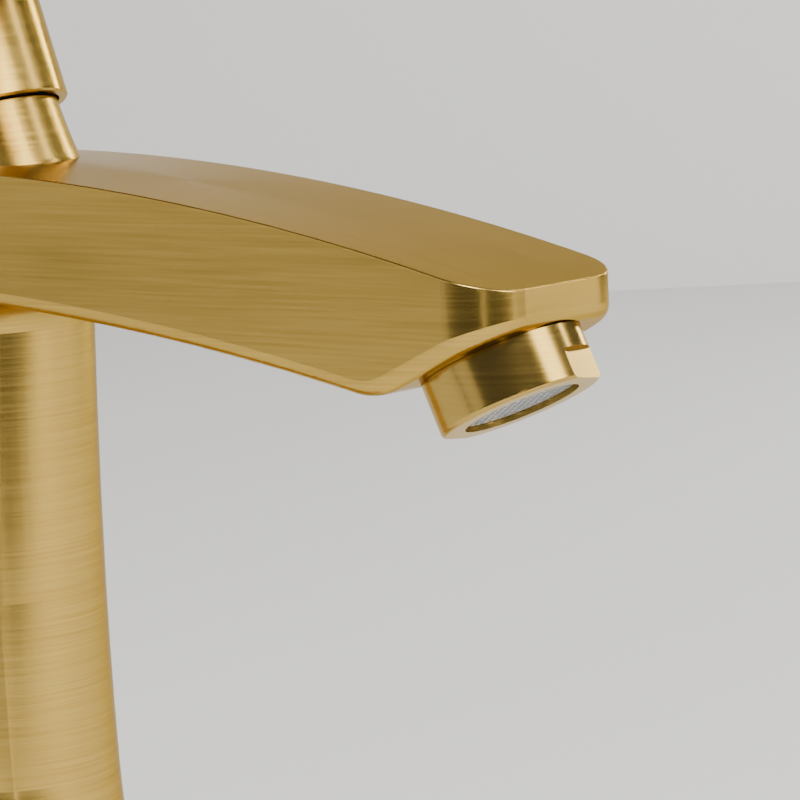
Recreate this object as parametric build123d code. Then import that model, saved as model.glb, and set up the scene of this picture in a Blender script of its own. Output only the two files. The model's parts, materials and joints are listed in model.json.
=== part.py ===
from build123d import *
import math
import os

# Single-lever basin mixer for one deck hole, in millimetres.
# Origin: centre of the base on the deck plane. +Z up, the spout points to -Y.

# Column and base
base_r = 24.5
base_rim_h = 2.6
waist_r = 18.4
waist_z = 72.0
lower_flare_r = 18.95
lower_flare_z = 40.0
head_r = 19.3
column_top_z = 124.0
cavity_r = 14.5
cavity_top_z = 95.0
gasket_outer_r = 22.5
gasket_inner_r = 19.5
gasket_h = 1.5

# Spout: a flat slab with curved top and underside
spout_end_y = -125.7
spout_end_half_w = 17.6
spout_corner_r = 9.0
top_z_at_column = 146.5
top_z_middle = 141.7
top_z_end = 128.8
under_z_at_column = 125.0
under_z_middle = 120.7
under_z_outlet = 111.9
under_end_y = -102.0
under_blend_r = 12.0
under_fillet_r = 10.0
top_edge_r = 0.3
lower_edge_r = 2.6
channel_half_w = 12.0
channel_wall_top = 5.5
channel_wall_under = 6.0
channel_start_y = -14.0
channel_end_y = -112.0
channel_end_z = 116.5

# Outlet and aerator, on an axis that leans forward
outlet_y = -113.6
outlet_z = 117.25
outlet_tilt = 25.0
outlet_thread_r = 12.0
outlet_thread_depth = 7.0
outlet_passage_r = 7.5
outlet_passage_depth = 10.5
aerator_r = 13.0
aerator_drop = 8.7
aerator_bore_r = 10.2
aerator_lip_r = 9.3
aerator_edge_r = 0.7
flat_half_width = 11.8
flat_height = 4.9
flat_turn = 18.0

# Handle axis: leans back and passes through the centre of the handle's lip
axis_tilt = 18.0
lip_y = 0.96
lip_z = 152.4
pivot_s = -8.0
neck_top_r = 15.95
neck_middle_r = 16.4
neck_base_r = 17.15
neck_base_s = -11.85
shoulder_s = -6.65
chamber_r = 12.6
chamber_floor_s = -30.0
neck_thread_r = 14.0
neck_thread_s = -9.6

# Inlets in the floor of the column's cavity
inlet_x = 6.0
inlet_y = -6.2
inlet_thread_r = 4.5
inlet_thread_h = 12.0
inlet_passage_r = 2.4
inlet_passage_top_z = 124.4

# Cartridge, stacked along the handle axis (s is the distance from the lip plane)
cartridge_r = 12.5
cartridge_bore_r = 10.9
base_top_s = -26.0
fixed_top_s = -23.2
moving_top_s = -20.9
carrier_top_s = -16.6
rotor_bottom_s = -16.3
rotor_shoulder_s = -10.4
rotor_top_s = -4.5
housing_top_s = -6.5
housing_step_s = -9.4
arm_tip_s = -17.9
spindle_top_s = 22.0
spindle_half = 3.5
disc_r = 8.3
ball_r = 2.0
pin_r = 1.0
pin_half_length = 8.4
running_gap = 0.05

# Handle
hub_r = 17.9
hub_middle_r = 17.75
hub_top_r = 17.6
hub_bore_r = 16.35
dome_r = 17.2
dome_wall = 1.0
dome_foot_h = 8.05
dome_rim_h = 13.6
lever_reach = 92.0
lever_rear_r = 18.0
lever_corner_r = 6.0
lever_edge_r = 1.2
lever_top_rear_s = 27.6
lever_top_middle_s = 26.3
lever_end_half_w = 11.0
lever_under_root_s = 20.5
lever_under_end_s = 23.0
lever_top_end_s = 27.2
screw_s = 14.0
screw_r = 2.5
plug_r = 3.6
plug_seat = 14.4
plug_face = 17.8

# Mounting set under the deck
shank_r = 16.0
shank_bore_r = 13.5
shank_top_z = 12.0
shank_bottom_z = -66.0
shank_end_r = 15.5
shank_end_h = 8.5
shank_end_bevel = 0.8
shank_groove_r = 14.9
shank_groove_h = 1.0
deck_thickness = 30.0
rubber_washer_h = 3.0
clamp_washer_h = 2.0
washer_r = 25.0
washer_hole_r = 16.4
nut_h = 12.0
nut_r = 23.0
jack_screw_count = 3
jack_screw_pitch_r = 19.6
jack_screw_r = 2.0


def tilted(shape):
    """Move a shape from the handle axis's own frame, with its lip plane at s = 0."""
    return Pos(0, lip_y, lip_z) * Rot(-axis_tilt, 0, 0) * shape


def at_outlet(shape):
    """Move a shape from the outlet's own frame, with the spout's cut face at s = 0."""
    return Pos(0, outlet_y, outlet_z) * Rot(-outlet_tilt, 0, 0) * shape


def rod(radius, bottom, top, x=0.0, y=0.0):
    """A round bar along Z between two heights."""
    return Pos(x, y, bottom) * Cylinder(
        radius, top - bottom, align=(Align.CENTER, Align.CENTER, Align.MIN)
    )


def tube(outer, inner, bottom, top):
    return rod(outer, bottom, top) - rod(inner, bottom - 1, top + 1)


def block(x_size, y_size, bottom, top, x=0.0, y=0.0):
    return Pos(x, y, bottom) * Box(
        x_size, y_size, top - bottom, align=(Align.CENTER, Align.CENTER, Align.MIN)
    )


def turned(points):
    """A solid turned about Z from a closed outline of (radius, height) points."""
    outline = Polyline(*points, close=True)
    return revolve(Plane.XZ * make_face(outline), Axis.Z)


def side_sheet(outline, half_width):
    """A closed outline of (y, z) lines, thickened to both sides of X = 0."""
    return extrude(Plane.YZ * make_face(outline), half_width, both=True)


def top_curve(drop=0.0):
    return ThreePointArc(
        (0, top_z_at_column - drop),
        (spout_end_y / 2, top_z_middle - drop),
        (spout_end_y, top_z_end - drop),
    )


def under_curve(lift=0.0):
    return ThreePointArc(
        (under_end_y, under_z_outlet + lift),
        (under_end_y / 2, under_z_middle + lift),
        (0, under_z_at_column + lift),
    )


def spout_plan():
    """The spout's outline from above, as a tall prism."""
    plan = make_face(
        Polyline(
            (head_r, 0),
            (spout_end_half_w, spout_end_y),
            (-spout_end_half_w, spout_end_y),
            (-head_r, 0),
            close=True,
        )
    )
    plan = fillet(plan.vertices().sort_by(Axis.Y)[:2], spout_corner_r)
    return Pos(0, 0, 100) * extrude(plan, 60)


def spout_slab():
    rise = math.tan(math.radians(outlet_tilt))
    cut_start_z = under_z_outlet
    cut_end_z = cut_start_z + rise * (under_end_y - spout_end_y)
    edges = [
        top_curve(),
        Line((spout_end_y, top_z_end), (spout_end_y, cut_end_z)),
        Line((spout_end_y, cut_end_z), (under_end_y, cut_start_z)),
        under_curve(),
        Line((0, under_z_at_column), (0, top_z_at_column)),
    ]
    side = make_face(edges)
    corner = [v for v in side.vertices() if abs(v.X - under_end_y) < 0.1 and v.Y < under_z_outlet + 1]
    side = fillet(corner, under_blend_r)
    slab = extrude(Plane.YZ * side, head_r + 5, both=True)
    slab = slab & spout_plan()
    lower_faces = [face for face in slab.faces() if face.normal_at(face.center()).Z < -0.5]
    lower_edges = []
    for face in lower_faces:
        for edge in face.edges():
            at_side = abs(edge.center().X) > 1
            at_end = edge.center().Y < spout_end_y + 1
            if at_side or at_end:
                lower_edges.append(edge)
    return fillet(lower_edges, lower_edge_r)


def column():
    """The turned column with its flared foot, up to the spout's top."""
    waist = (waist_r, waist_z)
    lower_arc = TangentArc([waist, (lower_flare_r, lower_flare_z)], tangent=(0, -1))
    foot_arc = TangentArc([lower_arc @ 1, (base_r, base_rim_h)], tangent=lower_arc % 1)
    head_arc = TangentArc([waist, (head_r, column_top_z)], tangent=(0, 1))
    outline = [
        lower_arc,
        foot_arc,
        Polyline((base_r, base_rim_h), (base_r, 0.4), (base_r - 0.4, 0), (0, 0)),
        Polyline((0, 0), (0, 150), (head_r, 150), (head_r, column_top_z)),
        head_arc,
    ]
    shape = revolve(Plane.XZ * make_face(outline), Axis.Z)
    above_top = side_sheet(
        [
            Line((0, top_z_at_column), (40, top_z_at_column + 1.2)),
            Line((40, top_z_at_column + 1.2), (40, 170)),
            Line((40, 170), (spout_end_y, 170)),
            Line((spout_end_y, 170), (spout_end_y, top_z_end)),
            top_curve(),
        ],
        40,
    )
    return shape - above_top


def under_fillet():
    """The concave blend between the column's front and the spout's underside."""
    top = 123.9
    start_r = 18.2
    arc = RadiusArc(
        (start_r, top - under_fillet_r), (start_r + under_fillet_r, top), under_fillet_r
    )
    outline = [
        arc,
        Polyline(
            (start_r + under_fillet_r, top),
            (start_r + under_fillet_r, top + 4),
            (10, top + 4),
            (10, top - under_fillet_r),
            (start_r, top - under_fillet_r),
        ),
    ]
    ring = revolve(Plane.XZ * make_face(outline), Axis.Z)
    return ring & spout_plan()


def neck():
    wall = ThreePointArc(
        (neck_base_r, neck_base_s), (neck_middle_r, neck_base_s / 2), (neck_top_r, -0.4)
    )
    outline = [
        wall,
        Polyline(
            (neck_top_r, -0.4),
            (neck_top_r - 0.4, 0),
            (0, 0),
            (0, -17),
            (neck_base_r, -17),
            (neck_base_r, neck_base_s),
        ),
    ]
    return tilted(revolve(Plane.XZ * make_face(outline), Axis.Z))


def body_waterways():
    """Everything hollow inside the casting."""
    channel_end_top = top_z_end - channel_wall_top
    channel = side_sheet(
        [
            top_curve(channel_wall_top),
            Line((spout_end_y, channel_end_top), (spout_end_y, channel_end_z)),
            Line((spout_end_y, channel_end_z), (under_end_y, under_z_outlet + channel_wall_under)),
            under_curve(channel_wall_under),
            Line(
                (0, under_z_at_column + channel_wall_under),
                (0, top_z_at_column - channel_wall_top),
            ),
        ],
        channel_half_w,
    )
    length = channel_start_y - channel_end_y
    channel = channel & block(
        60, length, 100, 150, y=(channel_start_y + channel_end_y) / 2
    )
    hollow = channel
    hollow += tilted(rod(chamber_r, chamber_floor_s, 1))
    hollow += tilted(rod(neck_thread_r, neck_thread_s, 1))
    hollow += at_outlet(rod(outlet_thread_r, -6, outlet_thread_depth))
    hollow += at_outlet(rod(outlet_passage_r, -6, outlet_passage_depth))
    hollow += rod(cavity_r, shank_top_z, cavity_top_z)
    hollow += rod(shank_r, -1, shank_top_z)
    hollow += tube(gasket_outer_r, gasket_inner_r, -1, gasket_h)
    for side in (-1, 1):
        x = side * inlet_x
        hollow += rod(inlet_thread_r, cavity_top_z - 1, cavity_top_z + inlet_thread_h, x, inlet_y)
        hollow += rod(inlet_passage_r, cavity_top_z, inlet_passage_top_z, x, inlet_y)
    return hollow


def top_rim(shell):
    """The outer edges of the two faces that look up."""
    faces = [face for face in shell.faces() if face.normal_at(face.center()).Z > 0.8]
    rim = []
    for face in faces:
        for edge in face.edges():
            is_inside = abs(edge.center().X) < 1 and -30 < edge.center().Y < 10
            if edge.center().Z > 120 and not is_inside:
                rim.append(edge)
    return rim


def body_casting():
    shell = column() + (spout_slab() + under_fillet())
    behind_neck = tilted(block(60, 60, shoulder_s, 30)) & block(60, 60, 100, 200, y=20)
    shell = shell - behind_neck
    shell = fillet(top_rim(shell), top_edge_r)
    shell = shell + neck()
    return shell - body_waterways()


def cartridge_base():
    shape = rod(cartridge_r - 0.1, chamber_floor_s, base_top_s)
    local_y = -2.5
    for side in (-1, 1):
        x = side * inlet_x
        shape -= rod(2.4, chamber_floor_s - 1, base_top_s + 1, x, -local_y)
        shape -= rod(3.9, chamber_floor_s - 1, chamber_floor_s + 1.2, x, -local_y)
    shape -= block(9, 8, base_top_s - 2.2, base_top_s + 1, y=-8.6)
    return tilted(shape)


def inlet_seals():
    rings = Compound(
        [
            Pos(side * inlet_x, 2.5, 0) * tube(3.8, 2.5, chamber_floor_s, chamber_floor_s + 1.15)
            for side in (-1, 1)
        ]
    )
    return tilted(rings)


def fixed_disc():
    shape = rod(cartridge_bore_r - 0.1, base_top_s, fixed_top_s)
    for side in (-1, 1):
        shape -= rod(2.2, base_top_s - 1, fixed_top_s + 1, side * inlet_x, 2.5)
    shape -= block(9, 5, base_top_s - 1, fixed_top_s + 1, y=-7.0)
    return tilted(shape)


def moving_disc():
    shape = rod(disc_r, fixed_top_s + 0.02, moving_top_s)
    shape -= Pos(0, -1.2, 0) * rod(4.6, fixed_top_s - 1, fixed_top_s + 1.4)
    return tilted(shape)


def disc_seal():
    return tilted(tube(6.4, 5.4, moving_top_s, moving_top_s + 0.6))


def disc_carrier():
    shape = rod(disc_r, moving_top_s, carrier_top_s)
    shape = shape & block(13.6, 20, moving_top_s - 1, carrier_top_s + 1)
    shape -= rod(2.3, moving_top_s + 0.7, carrier_top_s + 1)
    shape -= tube(6.45, 5.35, moving_top_s - 1, moving_top_s + 0.62)
    return tilted(shape)


def cartridge_housing():
    shape = rod(cartridge_r, base_top_s, housing_step_s) + rod(10.5, housing_step_s, housing_top_s)
    shape -= rod(cartridge_bore_r, base_top_s - 1, rotor_shoulder_s + 0.2)
    shape -= rod(8.7, rotor_shoulder_s, housing_top_s + 1)
    shape -= block(13, 12, fixed_top_s + 0.4, carrier_top_s - 0.4, y=-11)
    shape -= tube(cartridge_r + 1, 11.6, -14.2, -12.6)
    return tilted(shape)


def housing_seal():
    return tilted(tube(chamber_r - 0.02, 11.62, -14.15, -12.65))


def spindle_holder():
    """The rotor that turns in the housing and carries the lever's pin."""
    body_r = cartridge_bore_r - 0.08
    shape = rod(body_r, rotor_bottom_s, rotor_shoulder_s) + rod(8.6, rotor_shoulder_s, rotor_top_s)
    for side in (-1, 1):
        guide = block(3.0, 16, moving_top_s + 0.5, rotor_bottom_s, x=side * 8.7)
        shape += guide & rod(body_r, moving_top_s, rotor_bottom_s)
    shape -= block(7.6, 10.4, -12.0, rotor_top_s + 1, y=-0.2)
    shape -= block(5.2, 9.0, rotor_bottom_s - 1, -11.5)
    shape -= Pos(0, 0, pivot_s) * Rot(0, 90, 0) * Cylinder(pin_r, 40)
    shape -= tube(body_r + 1, 9.9, -14.6, -13.2)
    return tilted(shape)


def rotor_seal():
    return tilted(tube(10.85, 9.92, -14.55, -13.25))


def limit_ring():
    shape = tube(10.2, 8.65, housing_top_s + 0.1, rotor_top_s)
    shape += block(1.6, 1.5, housing_top_s + 0.1, rotor_top_s, y=-9.55)
    return tilted(shape)


def lever_pin():
    pin = Pos(0, 0, pivot_s) * Rot(0, 90, 0) * Cylinder(pin_r - 0.02, 2 * pin_half_length)
    return tilted(pin)


def spindle():
    hub = Pos(0, 0, pivot_s) * Rot(0, 90, 0) * Cylinder(3.4, 7.0)
    stem = block(2 * spindle_half, 2 * spindle_half, pivot_s, spindle_top_s)
    stem = chamfer(stem.faces().sort_by(Axis.Z)[-1].edges(), 0.6)
    arm = rod(1.6, arm_tip_s, pivot_s)
    ball = Pos(0, 0, arm_tip_s) * Sphere(ball_r)
    bore = Pos(0, 0, pivot_s) * Rot(0, 90, 0) * Cylinder(pin_r + running_gap, 20)
    return tilted(hub + stem + arm + ball - bore)


def retaining_nut():
    shape = rod(neck_thread_r - 0.05, housing_step_s, -2.5)
    hexagon = extrude(RegularPolygon(10.5, 6, major_radius=False), 4.5)
    shape += Pos(0, 0, -2.5) * hexagon
    shape -= rod(10.6, housing_step_s - 1, -2.8)
    shape -= rod(9.4, -3, 4)
    return tilted(shape)


def dome_cap():
    """A spherical collar about the lever's pin, fixed on the neck's rim."""
    zone = Sphere(dome_r) - Sphere(dome_r - dome_wall)
    zone = zone & rod(20, dome_foot_h, dome_rim_h)
    return tilted(Pos(0, 0, pivot_s) * zone)


def lever_handle():
    """The hub that covers the neck and the flat lever, one casting."""
    hub_top_s = lever_under_root_s + 3
    hub_wall = ThreePointArc((hub_r, 0.3), (hub_middle_r, 10), (hub_top_r, hub_top_s))
    outline = [
        Polyline((0, hub_top_s), (0, 0), (hub_r - 0.3, 0), (hub_r, 0.3)),
        hub_wall,
        Line((hub_top_r, hub_top_s), (0, hub_top_s)),
    ]
    hub = revolve(Plane.XZ * make_face(outline), Axis.Z)
    rear = 20
    side = [
        Line((rear, lever_under_root_s), (0, lever_under_root_s)),
        Line((0, lever_under_root_s), (-lever_reach, lever_under_end_s)),
        Line((-lever_reach, lever_under_end_s), (-lever_reach, lever_top_end_s)),
        ThreePointArc(
            (-lever_reach, lever_top_end_s), (-45, lever_top_middle_s), (rear, lever_top_rear_s)
        ),
        Line((rear, lever_top_rear_s), (rear, lever_under_root_s)),
    ]
    # The sides leave the round rear at the angle that makes them tangent to it.
    taper = math.asin((lever_rear_r - lever_end_half_w) / lever_reach)
    start = (lever_rear_r * math.cos(taper), -lever_rear_r * math.sin(taper))
    plan = make_face(
        [
            Line(start, (lever_end_half_w, -lever_reach)),
            Line((lever_end_half_w, -lever_reach), (-lever_end_half_w, -lever_reach)),
            Line((-lever_end_half_w, -lever_reach), (-start[0], start[1])),
            ThreePointArc((-start[0], start[1]), (0, lever_rear_r), start),
        ]
    )
    plan = fillet(plan.vertices().sort_by(Axis.Y)[:2], lever_corner_r)
    lever = side_sheet(side, 30) & extrude(plan, 40)
    top_face = lever.faces().sort_by(Axis.Z)[-1]
    lever = fillet(top_face.edges(), lever_edge_r)
    shape = hub + lever
    shape -= turned(
        [
            (0, -1),
            (hub_bore_r, -1),
            (hub_bore_r, 1.5),
            (14.0, 9.0),
            (13.0, 10.0),
            (0, 10.0),
        ]
    )
    shape -= rod(7.0, 9, spindle_top_s + 0.3)
    shape -= Pos(0, 0, screw_s) * Rot(-90, 0, 0) * rod(screw_r, 0, 30)
    shape -= Pos(0, 0, screw_s) * Rot(-90, 0, 0) * rod(plug_r, plug_seat, 30)
    return tilted(shape)


def socket_insert():
    hole = 2 * spindle_half + 0.04
    shape = rod(6.95, 10.0, spindle_top_s + 0.2)
    shape -= block(hole, hole, 9, spindle_top_s + 0.02)
    shape -= Pos(0, 0, screw_s) * Rot(-90, 0, 0) * rod(screw_r, 0, 30)
    return tilted(shape)


def set_screw():
    screw = rod(screw_r - 0.03, spindle_half + 0.02, 11.5)
    socket = extrude(RegularPolygon(1.25, 6, major_radius=False), 3)
    screw -= Pos(0, 0, 9.5) * socket
    return tilted(Pos(0, 0, screw_s) * Rot(-90, 0, 0) * screw)


def index_plug():
    plug = rod(plug_r - 0.03, plug_seat + 0.02, plug_face)
    plug = fillet(plug.edges().sort_by(Axis.Z)[-1], 0.5)
    return tilted(Pos(0, 0, screw_s) * Rot(-90, 0, 0) * plug)


def aerator_housing():
    shape = rod(aerator_r, -aerator_drop, 0)
    shape = fillet(shape.edges().sort_by(Axis.Z)[0], aerator_edge_r)
    shape += rod(outlet_thread_r - 0.05, 0, 5.4)
    shape -= rod(aerator_bore_r, -aerator_drop + 1.0, 6)
    shape -= rod(aerator_lip_r, -aerator_drop - 1, 0)
    for side in (-1, 1):
        cutter = block(40, 10, -aerator_drop - 1, -aerator_drop + flat_height,
                       y=side * (flat_half_width + 5))
        shape -= Rot(0, 0, flat_turn) * cutter
    return at_outlet(shape)


def aerator_insert():
    shape = tube(aerator_bore_r - 0.05, 8.6, -aerator_drop + 2.2, 3.0)
    shape += rod(8.8, -1.0, 0.5)
    for index in range(12):
        angle = math.radians(30 * index)
        shape -= rod(1.0, -2, 1, 6.4 * math.cos(angle), 6.4 * math.sin(angle))
    return at_outlet(shape)


def outlet_screen():
    """The honeycomb disc that the water leaves through."""
    shape = rod(aerator_bore_r - 0.05, -aerator_drop + 1.0, -aerator_drop + 2.2)
    pitch = 2.3
    hole_r = 0.95
    for row in range(-4, 5):
        for column_index in range(-4, 5):
            x = pitch * (column_index + 0.5 * (row % 2))
            y = pitch * 0.866 * row
            if math.hypot(x, y) < aerator_lip_r - 1.3:
                shape -= rod(hole_r, -aerator_drop, -aerator_drop + 3, x, y)
    return at_outlet(shape)


def flow_regulator():
    shape = tube(8.5, 3.2, 0.5, 2.6)
    for index in range(6):
        angle = math.radians(60 * index)
        shape -= rod(0.9, 0, 3, 5.8 * math.cos(angle), 5.8 * math.sin(angle))
    return at_outlet(shape)


def aerator_gasket():
    return at_outlet(tube(11.4, 8.2, 5.4, outlet_thread_depth - 0.02))


def base_gasket():
    return tube(gasket_outer_r - 0.1, gasket_inner_r + 0.1, 0, gasket_h)


def mounting_shank():
    step_z = shank_bottom_z + shank_end_h
    bar = rod(shank_r, step_z, shank_top_z - 0.1) + rod(shank_end_r, shank_bottom_z, step_z)
    bar = chamfer(bar.edges().sort_by(Axis.Z)[0], shank_end_bevel)
    groove_z = step_z - shank_groove_h
    bar -= rod(shank_r + 1, groove_z, step_z) - rod(shank_groove_r, groove_z - 1, step_z + 1)
    return bar - rod(shank_bore_r, shank_bottom_z - 1, shank_top_z)


def rubber_washer():
    return tube(washer_r, washer_hole_r, -deck_thickness - rubber_washer_h, -deck_thickness)


def clamp_washer():
    top = -deck_thickness - rubber_washer_h
    return tube(washer_r, washer_hole_r, top - clamp_washer_h, top)


def nut_top_z():
    return -deck_thickness - rubber_washer_h - clamp_washer_h - 2.0


def mounting_nut():
    top = nut_top_z()
    shape = tube(nut_r, shank_r + 0.02, top - nut_h, top)
    for index in range(jack_screw_count):
        angle = 360 / jack_screw_count * index + 90
        notch = Rot(0, 0, angle + 60) * Pos(nut_r + 1.0, 0, 0) * rod(3.5, top - nut_h - 1, top + 1)
        hole = Rot(0, 0, angle) * rod(jack_screw_r, top - nut_h - 1, top + 1, jack_screw_pitch_r)
        shape -= notch
        shape -= hole
    return shape


def jack_screws():
    top = -deck_thickness - rubber_washer_h - clamp_washer_h
    bottom = nut_top_z() - nut_h
    shank = rod(jack_screw_r - 0.03, bottom - 4, top)
    head = rod(3.4, bottom - 7.5, bottom - 4)
    slot = block(8, 0.9, bottom - 8, bottom - 6.4)
    screw = shank + head - slot
    screws = []
    for index in range(jack_screw_count):
        angle = 360 / jack_screw_count * index + 90
        screws.append(Rot(0, 0, angle) * Pos(jack_screw_pitch_r, 0, 0) * screw)
    return Compound(screws)


nodes = {
    "body_casting": body_casting,
    "base_gasket": base_gasket,
    "mounting_shank": mounting_shank,
    "rubber_washer": rubber_washer,
    "clamp_washer": clamp_washer,
    "mounting_nut": mounting_nut,
    "jack_screws": jack_screws,
    "cartridge_base": cartridge_base,
    "inlet_seals": inlet_seals,
    "fixed_disc": fixed_disc,
    "moving_disc": moving_disc,
    "disc_seal": disc_seal,
    "disc_carrier": disc_carrier,
    "cartridge_housing": cartridge_housing,
    "housing_seal": housing_seal,
    "spindle_holder": spindle_holder,
    "rotor_seal": rotor_seal,
    "limit_ring": limit_ring,
    "lever_pin": lever_pin,
    "spindle": spindle,
    "retaining_nut": retaining_nut,
    "dome_cap": dome_cap,
    "lever_handle": lever_handle,
    "socket_insert": socket_insert,
    "set_screw": set_screw,
    "index_plug": index_plug,
    "aerator_housing": aerator_housing,
    "aerator_insert": aerator_insert,
    "outlet_screen": outlet_screen,
    "flow_regulator": flow_regulator,
    "aerator_gasket": aerator_gasket,
}

os.makedirs("parts", exist_ok=True)
for name, make in nodes.items():
    export_step(make(), f"parts/{name}.step")
    print("wrote", name)
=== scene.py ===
import json
import math

import bpy
from mathutils import Matrix, Vector


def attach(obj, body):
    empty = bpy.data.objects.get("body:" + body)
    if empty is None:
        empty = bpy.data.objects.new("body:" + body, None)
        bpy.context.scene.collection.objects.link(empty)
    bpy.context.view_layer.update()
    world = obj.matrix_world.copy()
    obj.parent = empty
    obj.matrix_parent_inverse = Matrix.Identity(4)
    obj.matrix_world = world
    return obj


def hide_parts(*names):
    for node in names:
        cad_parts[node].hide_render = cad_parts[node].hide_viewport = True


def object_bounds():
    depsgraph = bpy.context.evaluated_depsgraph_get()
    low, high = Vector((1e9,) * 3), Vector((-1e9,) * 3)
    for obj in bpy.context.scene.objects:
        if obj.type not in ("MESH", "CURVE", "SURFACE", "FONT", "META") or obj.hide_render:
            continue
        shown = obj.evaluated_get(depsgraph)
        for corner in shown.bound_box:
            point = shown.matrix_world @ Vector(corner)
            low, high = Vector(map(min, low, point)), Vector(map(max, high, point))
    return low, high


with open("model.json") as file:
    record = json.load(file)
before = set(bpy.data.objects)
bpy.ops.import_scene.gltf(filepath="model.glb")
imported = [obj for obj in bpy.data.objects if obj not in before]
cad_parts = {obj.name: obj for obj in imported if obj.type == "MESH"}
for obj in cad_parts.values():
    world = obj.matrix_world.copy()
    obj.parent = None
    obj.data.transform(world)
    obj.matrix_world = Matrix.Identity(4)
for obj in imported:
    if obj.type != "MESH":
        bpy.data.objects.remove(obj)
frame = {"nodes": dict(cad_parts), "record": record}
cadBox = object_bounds()

nodes = frame["nodes"]

# camera: a long lens near the spout's height, looking down its near side
cameraSettings = {
    "place": (-0.4399, -0.4674, 0.1872),
    "turn": -49.6,
    "down": 7.67,
    "roll": -2.73,
    "lens": 168.1,
    "sensor": 36.0,
    "nearest": 0.01,
}


def makeCamera(s):
    data = bpy.data.cameras.new("closeCamera")
    data.lens = s["lens"]
    data.sensor_width = s["sensor"]
    data.clip_start = s["nearest"]
    camera = bpy.data.objects.new("closeCamera", data)
    bpy.context.collection.objects.link(camera)
    turn = Matrix.Rotation(math.radians(s["turn"]), 4, "Z")
    tip = Matrix.Rotation(math.radians(90 - s["down"]), 4, "X")
    roll = Matrix.Rotation(math.radians(s["roll"]), 4, "Z")
    camera.matrix_world = Matrix.Translation(s["place"]) @ turn @ tip @ roll
    bpy.context.scene.camera = camera


makeCamera(cameraSettings)
print("camera ready")


# a shader socket that can be added, multiplied and compared
class Sock:
    def __init__(self, tree, out):
        self.tree = tree
        self.out = out

    def sum(self, kind, a, b):
        return Graph(self.tree).node("ShaderNodeMath", {"operation": kind}, {0: a, 1: b})

    def __add__(self, other):
        return self.sum("ADD", self, other)

    def __sub__(self, other):
        return self.sum("SUBTRACT", self, other)

    def __rsub__(self, other):
        return self.sum("SUBTRACT", other, self)

    def __mul__(self, other):
        return self.sum("MULTIPLY", self, other)

    def __gt__(self, other):
        return self.sum("GREATER_THAN", self, other)


class Graph:
    def __init__(self, tree):
        self.tree = tree

    def node(self, kind, settings=None, inputs=None, out=0):
        made = self.tree.nodes.new(kind)
        for key, value in (settings or {}).items():
            setattr(made, key, value)
        for key, value in (inputs or {}).items():
            if isinstance(value, Sock):
                self.tree.links.new(value.out, made.inputs[key])
            else:
                made.inputs[key].default_value = value
        return Sock(self.tree, made.outputs[out])

    def mix(self, factor, first, second):
        colours = {"Factor": factor, "A": first, "B": second}
        return self.node("ShaderNodeMix", {"data_type": "RGBA"}, colours, out=2)

    def noise(self, place, scale, detail):
        inputs = {"Vector": place, "Scale": scale, "Detail": detail}
        return self.node("ShaderNodeTexNoise", None, inputs)

    def stretched(self, place, scales):
        return self.node("ShaderNodeMapping", None, {"Vector": place, "Scale": scales})

    def bump(self, strength, distance, height):
        inputs = {"Strength": strength, "Distance": distance, "Height": height}
        return self.node("ShaderNodeBump", None, inputs)


def newMaterial(name, fixed):
    material = bpy.data.materials.new(name)
    material.use_nodes = True
    shader = material.node_tree.nodes["Principled BSDF"]
    for key, value in fixed.items():
        shader.inputs[key].default_value = value
    return material, shader, Graph(material.node_tree)


def plug(graph, value, shader, key):
    graph.tree.links.new(value.out, shader.inputs[key])


brushedSettings = {
    "light": (0.59, 0.395, 0.098, 1),
    "dark": (0.42, 0.27, 0.058, 1),
    "edge": (0.64, 0.55, 0.41, 1),
    "roughness": 0.20,
    "anisotropic": 0.75,
    "strength": 0.12,
}
polishedSettings = {
    "light": (0.50, 0.335, 0.09, 1),
    "dark": (0.40, 0.262, 0.062, 1),
    "edge": (0.84, 0.74, 0.54, 1),
    "roughness": 0.17,
    "anisotropic": 0.5,
    "strength": 0.15,
}
# shared by both golds: line spacing, how upright a top face is, and the weight of fine and soft marks
brushing = {
    "sideScales": (40, 40, 2200),
    "topScales": (2200, 40, 40),
    "topAbove": 0.75,
    "softScale": 40.0,
    "lineColour": 1.7,
    "softColour": 0.4,
    "colourDrop": 0.55,
    "lineRoughness": 0.10,
    "softRoughness": 0.04,
    "roughnessDrop": 0.07,
    "depth": 0.00002,
}


# fine lines run round the turned faces and along the flat top
def brushedGold(name, s):
    b = brushing
    fixed = {"Metallic": 1.0, "Anisotropic": s["anisotropic"], "Specular Tint": s["edge"]}
    material, shader, g = newMaterial(name, fixed)
    place = g.node("ShaderNodeTexCoord", out="Object")
    across = g.stretched(place, b["sideScales"])
    along = g.stretched(place, b["topScales"])
    normal = g.node("ShaderNodeTexCoord", out="Normal")
    isTop = g.node("ShaderNodeSeparateXYZ", None, {0: normal}, out="Z") > b["topAbove"]
    sideLines = g.noise(across, 1.0, 3.0)
    topLines = g.noise(along, 1.0, 3.0)
    lines = sideLines * (1 - isTop) + topLines * isTop
    soft = g.noise(place, b["softScale"], 2.0)
    blend = lines * b["lineColour"] + soft * b["softColour"] - b["colourDrop"]
    plug(g, g.mix(blend, s["dark"], s["light"]), shader, "Base Color")
    marks = lines * b["lineRoughness"] + soft * b["softRoughness"]
    plug(g, marks + (s["roughness"] - b["roughnessDrop"]), shader, "Roughness")
    plug(g, g.bump(s["strength"], b["depth"], lines), shader, "Normal")
    return material


metalSettings = {
    "bareBrass": {
        "dark": (0.52, 0.34, 0.13, 1), "light": (0.74, 0.55, 0.26, 1),
        "scale": 55.0, "rings": 1400, "low": 0.24, "spread": 0.20,
    },
    "zincSteel": {
        "dark": (0.40, 0.41, 0.42, 1), "light": (0.66, 0.67, 0.66, 1),
        "scale": 110.0, "rings": 500, "low": 0.30, "spread": 0.24,
    },
}


turningMarks = {"around": 30, "strength": 0.12, "depth": 0.00004, "roughness": 0.08}


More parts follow.
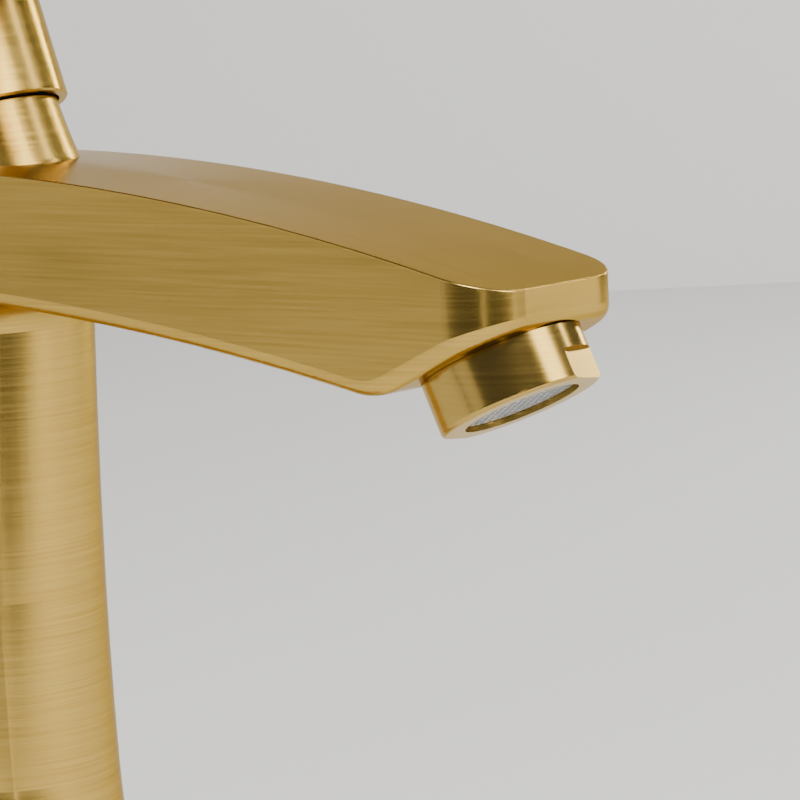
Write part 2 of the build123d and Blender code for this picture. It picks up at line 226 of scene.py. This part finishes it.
# machined metal: turning marks over slow staining
def machinedMetal(name, s):
    t = turningMarks
    material, shader, g = newMaterial(name, {"Metallic": 1.0})
    place = g.node("ShaderNodeTexCoord", out="Object")
    rings = g.stretched(place, (t["around"], t["around"], s["rings"]))
    marks = g.noise(rings, 1.0, 2.0)
    stain = g.noise(place, s["scale"], 4.0)
    plug(g, g.mix(stain * 0.7 + marks * 0.3, s["dark"], s["light"]), shader, "Base Color")
    plug(g, stain * s["spread"] + marks * t["roughness"] + s["low"], shader, "Roughness")
    plug(g, g.bump(t["strength"], t["depth"], marks), shader, "Normal")
    return material


plainSettings = {
    "blackRubber": {
        "dark": (0.012, 0.012, 0.012, 1), "light": (0.035, 0.034, 0.033, 1),
        "scale": 900.0, "low": 0.62, "spread": 0.25, "coat": 0.0, "bump": 0.25,
    },
    "blackPlastic": {
        "dark": (0.018, 0.018, 0.019, 1), "light": (0.040, 0.040, 0.042, 1),
        "scale": 1500.0, "low": 0.36, "spread": 0.18, "coat": 0.0, "bump": 0.10,
    },
    "whitePlastic": {
        "dark": (0.74, 0.73, 0.69, 1), "light": (0.84, 0.84, 0.81, 1),
        "scale": 300.0, "low": 0.34, "spread": 0.12, "coat": 0.1, "bump": 0.05,
    },
    "greyPlastic": {
        "dark": (0.34, 0.35, 0.36, 1), "light": (0.47, 0.48, 0.49, 1),
        "scale": 400.0, "low": 0.36, "spread": 0.14, "coat": 0.1, "bump": 0.05,
    },
    "redPlastic": {
        "dark": (0.42, 0.025, 0.020, 1), "light": (0.60, 0.06, 0.045, 1),
        "scale": 400.0, "low": 0.34, "spread": 0.12, "coat": 0.1, "bump": 0.05,
    },
    "alumina": {
        "dark": (0.80, 0.78, 0.74, 1), "light": (0.90, 0.89, 0.86, 1),
        "scale": 700.0, "low": 0.16, "spread": 0.10, "coat": 0.3, "bump": 0.02,
    },
}


grainDepth = 0.00005
broadScale = 60.0


# moulded or lapped: fine grain over a slow change of shade
def mouldedSurface(name, s):
    material, shader, g = newMaterial(name, {"Coat Weight": s["coat"]})
    place = g.node("ShaderNodeTexCoord", out="Object")
    grain = g.noise(place, s["scale"], 3.0)
    broad = g.noise(place, broadScale, 2.0)
    plug(g, g.mix(grain * 0.5 + broad * 0.5, s["dark"], s["light"]), shader, "Base Color")
    plug(g, grain * s["spread"] + s["low"], shader, "Roughness")
    plug(g, g.bump(s["bump"], grainDepth, grain), shader, "Normal")
    return material


indexSettings = {
    "red": (0.55, 0.02, 0.02, 1), "blue": (0.02, 0.06, 0.42, 1),
    "coat": 0.6, "scale": 800.0, "low": 0.18, "spread": 0.1,
}


# half red, half blue, for hot and cold
def indexSurface(s):
    material, shader, g = newMaterial("indexPlastic", {"Coat Weight": s["coat"]})
    place = g.node("ShaderNodeTexCoord", out="Object")
    side = g.node("ShaderNodeSeparateXYZ", None, {0: place}, out="X") > 0.0
    speck = g.noise(place, s["scale"], 2.0)
    plug(g, g.mix(side, s["blue"], s["red"]), shader, "Base Color")
    plug(g, speck * s["spread"] + s["low"], shader, "Roughness")
    return material


finishes = {
    "brushed_gold": brushedGold("brushedGold", brushedSettings),
    "polished_gold": brushedGold("polishedGold", polishedSettings),
    "bare_brass": machinedMetal("bareBrass", metalSettings["bareBrass"]),
    "zinc_steel": machinedMetal("zincSteel", metalSettings["zincSteel"]),
    "black_rubber": mouldedSurface("blackRubber", plainSettings["blackRubber"]),
    "black_plastic": mouldedSurface("blackPlastic", plainSettings["blackPlastic"]),
    "white_plastic": mouldedSurface("whitePlastic", plainSettings["whitePlastic"]),
    "grey_plastic": mouldedSurface("greyPlastic", plainSettings["greyPlastic"]),
    "red_plastic": mouldedSurface("redPlastic", plainSettings["redPlastic"]),
    "alumina": mouldedSurface("alumina", plainSettings["alumina"]),
    "index_plastic": indexSurface(indexSettings),
}
slotOf = {row["node"]: row["material_slot"] for row in frame["record"]["subparts"]}
for name, obj in nodes.items():
    for slot in obj.material_slots:
        slot.material = finishes[slotOf[name]]
print("materials ready")


tubeSides = 96
smoothAngle = 35


def only(obj):
    bpy.ops.object.select_all(action="DESELECT")
    obj.select_set(True)
    bpy.context.view_layer.objects.active = obj


def applied(obj, kind, values):
    only(obj)
    modifier = obj.modifiers.new(kind.lower(), kind)
    for key, value in values.items():
        setattr(modifier, key, value)
    bpy.ops.object.modifier_apply(modifier=modifier.name)
    return obj


# an open tube between two heights, its wall measured inwards
def openTube(radius, wall, low, high, bevel):
    bpy.ops.object.select_all(action="DESELECT")
    bpy.ops.mesh.primitive_cylinder_add(
        vertices=tubeSides, radius=radius, depth=high - low,
        end_fill_type="NOTHING", location=(0, 0, (low + high) / 2),
    )
    obj = bpy.context.object
    applied(obj, "SOLIDIFY", {"thickness": wall, "offset": -1, "use_even_offset": True})
    if bevel:
        applied(obj, "BEVEL", {"width": bevel, "segments": 2, "limit_method": "ANGLE"})
    return obj


def joined(parts, name):
    bpy.ops.object.select_all(action="DESELECT")
    for part in parts:
        part.select_set(True)
    bpy.context.view_layer.objects.active = parts[0]
    bpy.ops.object.join()
    bpy.ops.object.transform_apply(location=True, rotation=True, scale=True)
    obj = bpy.context.object
    obj.name = name
    return obj


# turns a piece about X at the origin, moves it into place and keeps the piece's own origin at 0
def settled(obj, place, turnX):
    only(obj)
    obj.rotation_euler = (math.radians(turnX), 0, 0)
    obj.location = place
    bpy.ops.object.transform_apply(location=True, rotation=True, scale=True)
    bpy.ops.object.mode_set(mode="EDIT")
    bpy.ops.mesh.select_all(action="SELECT")
    bpy.ops.mesh.normals_make_consistent(inside=False)
    bpy.ops.object.mode_set(mode="OBJECT")
    bpy.ops.object.shade_smooth_by_angle(angle=math.radians(smoothAngle))
    bpy.context.scene.cursor.location = (0, 0, 0)
    bpy.ops.object.origin_set(type="ORIGIN_CURSOR")
    return obj


def standsFor(obj, node, body):
    obj.data.materials.clear()
    obj.data.materials.append(finishes[slotOf[node]])
    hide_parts(node)
    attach(obj, body)


# shank: a tube with a raised thread, and a plain turned end below it
shankSettings = {
    "rootRadius": 0.01515, "crestRadius": 0.01598, "bore": 0.0135,
    "top": 0.0119, "threadLow": -0.0565, "threadHigh": 0.0100,
    "endRadius": 0.0155, "endTop": -0.0585, "bottom": -0.066, "endBevel": 0.0005,
    "pitch": 0.0015, "stepsPerTurn": 64, "merge": 0.000001, "place": (0, 0, 0), "tilt": 0.0,
}


# a triangle wound round the core; its depth is 1.5 times its radius
def threadRidge(s):
    bpy.ops.object.select_all(action="DESELECT")
    half = (s["crestRadius"] - s["rootRadius"]) / 1.5
    bpy.ops.mesh.primitive_circle_add(
        vertices=3, radius=half, location=(s["crestRadius"] - half, 0, s["threadLow"]),
        rotation=(math.radians(90), math.radians(90), 0),
    )
    ridge = bpy.context.object
    bpy.ops.object.transform_apply(location=True, rotation=True, scale=True)
    turns = int((s["threadHigh"] - s["threadLow"]) / s["pitch"])
    values = {
        "axis": "Z", "screw_offset": s["pitch"], "iterations": turns,
        "steps": s["stepsPerTurn"], "render_steps": s["stepsPerTurn"],
        "use_merge_vertices": True, "merge_threshold": s["merge"],
    }
    return applied(ridge, "SCREW", values)


def makeShank(s):
    wall = s["rootRadius"] - s["bore"]
    core = openTube(s["rootRadius"], wall, s["endTop"], s["top"], 0)
    endWall = s["endRadius"] - s["bore"]
    end = openTube(s["endRadius"], endWall, s["bottom"], s["endTop"], s["endBevel"])
    shank = joined([core, end, threadRidge(s)], "threadedShank")
    return settled(shank, s["place"], s["tilt"])


standsFor(makeShank(shankSettings), "mounting_shank", "root")

# outlet screen: six-sided cells inside a ring
screenSettings = {
    "radius": 0.01012, "ringWall": 0.0010, "pitch": 0.00165, "rib": 0.00014,
    "low": -0.0077, "high": -0.0065, "bevel": 0.00015, "merge": 0.00002,
    "overRing": 0.3, "nearRing": 0.45, "place": (0, -0.1136, 0.11725), "tilt": -25.0,
}


def makeScreen(s):
    reach = s["radius"] - s["ringWall"] + s["pitch"] * s["overRing"]
    rowStep = s["pitch"] * math.sqrt(3) / 2
    rows = int(reach / rowStep) + 1
    cells = []
    for row in range(-rows, rows + 1):
        for column in range(-rows, rows + 1):
            x = s["pitch"] * (column + 0.5 * (row % 2))
            y = rowStep * row
            if math.hypot(x, y) > reach - s["pitch"] * s["nearRing"]:
                continue
            bpy.ops.mesh.primitive_circle_add(
                vertices=6, radius=s["pitch"] / math.sqrt(3), fill_type="NGON",
                location=(x, y, s["high"]),
            )
            cells.append(bpy.context.object)
    mesh = joined(cells, "screenCells")
    bpy.ops.object.mode_set(mode="EDIT")
    bpy.ops.mesh.select_all(action="SELECT")
    bpy.ops.mesh.remove_doubles(threshold=s["merge"])
    bpy.ops.mesh.inset(use_individual=True, thickness=s["rib"])
    bpy.ops.mesh.delete(type="FACE")
    bpy.ops.object.mode_set(mode="OBJECT")
    applied(mesh, "SOLIDIFY", {"thickness": s["high"] - s["low"], "offset": -1})
    ring = openTube(s["radius"], s["ringWall"], s["low"], s["high"], s["bevel"])
    return settled(joined([ring, mesh], "honeycombScreen"), s["place"], s["tilt"])


standsFor(makeScreen(screenSettings), "outlet_screen", "root")
print("detail pieces ready")

# plain stage, square to the camera
# the floor stops short of the camera, so that faces turned to it see the dark
stageSettings = {
    "turn": math.radians(cameraSettings["turn"]),
    "away": (0.76, 0.65, 0),
    "floorSize": 6,
    "floorNear": 0.7,
    "floorGap": 0.0005,
    "wallSize": 2.2,
    "wallPlace": (1.3, 1.12, 1.0),
    "colour": (0.78, 0.78, 0.77, 1),
    "roughness": 0.8,
    "shine": 0.1,
}


def stagePlane(name, size, place, turn, material):
    bpy.ops.mesh.primitive_plane_add(size=size, location=place, rotation=turn)
    obj = bpy.context.object
    obj.name = name
    obj.data.materials.append(material)


def makeStage(s):
    fixed = {
        "Base Color": s["colour"], "Roughness": s["roughness"], "Specular IOR Level": s["shine"],
    }
    material = newMaterial("paleStage", fixed)[0]
    floorPlace = Vector(s["away"]) * (s["floorSize"] / 2 - s["floorNear"])
    floorPlace.z = cadBox[0][2] - s["floorGap"]
    stagePlane("floor", s["floorSize"], floorPlace, (0, 0, s["turn"]), material)
    wallTurn = (math.radians(90), 0, s["turn"])
    stagePlane("backdrop", s["wallSize"], s["wallPlace"], wallTurn, material)


makeStage(stageSettings)
print("stage ready")

lightAim = (0, -0.04, 0.12)


# each box stands at an azimuth, in degrees from +X, round the spout
def softbox(name, s):
    data = bpy.data.lights.new(name, "AREA")
    data.shape = "RECTANGLE"
    data.size = s["size"][0]
    data.size_y = s["size"][1]
    data.energy = s["power"]
    data.color = s["colour"]
    lamp = bpy.data.objects.new(name, data)
    bpy.context.collection.objects.link(lamp)
    turn = math.radians(s["azimuth"])
    place = Vector((s["away"] * math.cos(turn), s["away"] * math.sin(turn), s["height"]))
    aim = Vector(lightAim) - place
    lamp.rotation_euler = aim.to_track_quat("-Z", "Y").to_euler()
    lamp.location = place


lightSettings = {
    "topBox": {
        "azimuth": 220, "away": 1.3, "height": 1.7, "size": (1.0, 1.0),
        "power": 64, "colour": (1, 0.99, 0.97),
    },
    "rightBox": {
        "azimuth": 281, "away": 1.6, "height": 0.80, "size": (0.75, 1.6),
        "power": 26, "colour": (1, 0.95, 0.85),
    },
    "firstStrip": {
        "azimuth": 322, "away": 1.6, "height": 0.70, "size": (0.09, 1.6),
        "power": 6, "colour": (1, 0.97, 0.92),
    },
    "secondStrip": {
        "azimuth": 2, "away": 1.6, "height": 0.75, "size": (0.14, 1.5),
        "power": 14, "colour": (1, 0.99, 0.97),
    },
    "cameraStrip": {
        "azimuth": 231, "away": 1.6, "height": 0.20, "size": (0.04, 1.0),
        "power": 0.7, "colour": (1, 0.97, 0.92),
    },
    "leftBox": {
        "azimuth": 150, "away": 1.7, "height": 0.6, "size": (1.5, 1.3),
        "power": 5, "colour": (1, 0.97, 0.92),
    },
}
for name, settings in lightSettings.items():
    softbox(name, settings)

worldSettings = {"Color": (0.75, 0.76, 0.78, 1), "Strength": 0.2}
world = bpy.data.worlds.new("studio")
bpy.context.scene.world = world
world.use_nodes = True
for key, value in worldSettings.items():
    world.node_tree.nodes["Background"].inputs[key].default_value = value
print("lights ready")
